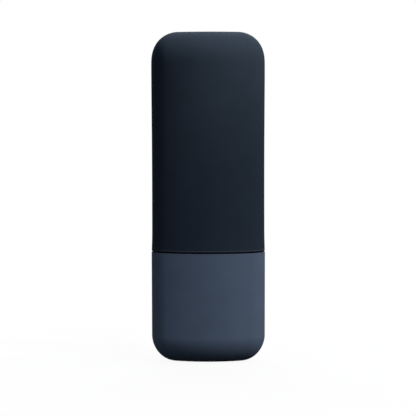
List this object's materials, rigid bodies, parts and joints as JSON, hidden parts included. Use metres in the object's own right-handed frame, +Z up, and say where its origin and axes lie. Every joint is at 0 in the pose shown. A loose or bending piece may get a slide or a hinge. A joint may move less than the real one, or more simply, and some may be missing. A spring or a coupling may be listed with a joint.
{
  "type": "razor travel case",
  "caption": "Upright silicone travel case for a razor: a tall rounded cover lifts off a short base that grips the handle.",
  "frame": {"origin": "centre of the foot, on the plane that the case stands on", "axes": "+Z up along the case, front facing -Y, width along X"},
  "size_m": [0.0564, 0.034, 0.1637],
  "materials": {
    "cover_silicone": "soft matt dark navy silicone",
    "base_silicone": "soft matt slate silicone",
    "liner_plastic": "fine matt moulded plastic",
    "neck_plastic": "smooth satin moulded plastic",
    "insert_silicone": "soft matt silicone",
    "magnet_nickel": "nickel plate"
  },
  "bodies": {
    "base": {"base_skin": "base_silicone", "base_liner": "liner_plastic", "neck_sleeve": "neck_plastic", "handle_grip": "insert_silicone", "handle_socket": "insert_silicone", "base_magnet_1": "magnet_nickel", "base_magnet_2": "magnet_nickel", "base_magnet_3": "magnet_nickel", "base_magnet_4": "magnet_nickel"},
    "cover": {"cover_skin": "cover_silicone", "cover_liner": "liner_plastic", "head_pad": "insert_silicone", "cover_magnet_1": "magnet_nickel", "cover_magnet_2": "magnet_nickel", "cover_magnet_3": "magnet_nickel", "cover_magnet_4": "magnet_nickel"}
  },
  "joints": [
    {"name": "cover_lift", "type": "slide", "parent": "base", "child": "cover", "axis": [0, 0, 1], "range_m": [0, 0.11]}
  ]
}
